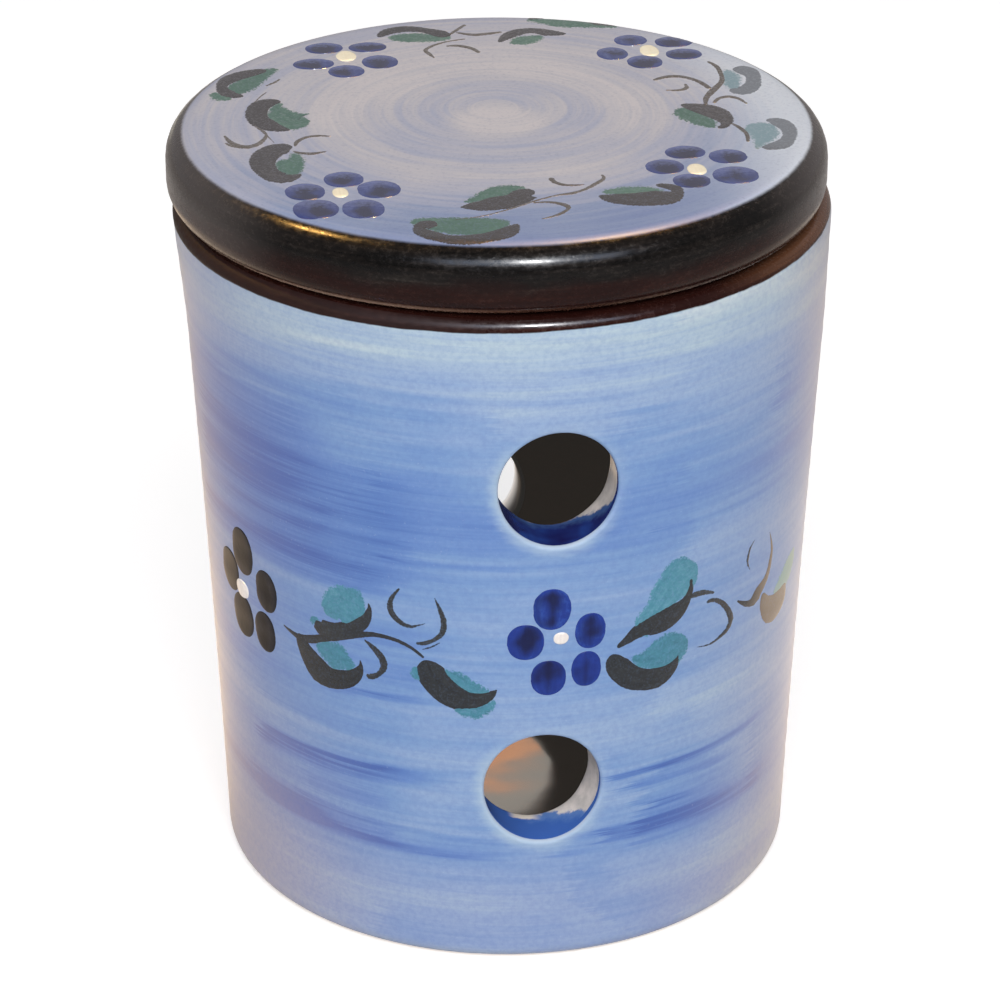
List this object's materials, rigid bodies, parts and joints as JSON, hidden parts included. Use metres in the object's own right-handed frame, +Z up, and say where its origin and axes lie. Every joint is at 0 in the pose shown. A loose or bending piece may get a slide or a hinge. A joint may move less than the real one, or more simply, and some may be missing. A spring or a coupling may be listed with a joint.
{
  "type": "garlic keeper",
  "caption": "Tapered glazed pottery jar with round vent holes through its wall and a loose flat lid, for keeping garlic bulbs dry and aired.",
  "frame": {"origin": "centre of the foot, on the surface that the jar stands on", "axes": "+Z up along the jar's axis; -Y towards the front, through the front pair of vent holes"},
  "size_m": [0.1287, 0.1272, 0.1533],
  "materials": {
    "jar_glaze": "satin blue wash, dark brown gloss on the rim and inside",
    "lid_glaze": "satin blue wash on top, dark brown gloss on the rim"
  },
  "bodies": {
    "jar": {"jar": "jar_glaze"},
    "lid": {"lid": "lid_glaze"}
  },
  "joints": [
    {"name": "lid_lift", "type": "slide", "parent": "jar", "child": "lid", "axis": [0, 0, 1], "range_m": [0, 0.08]}
  ]
}
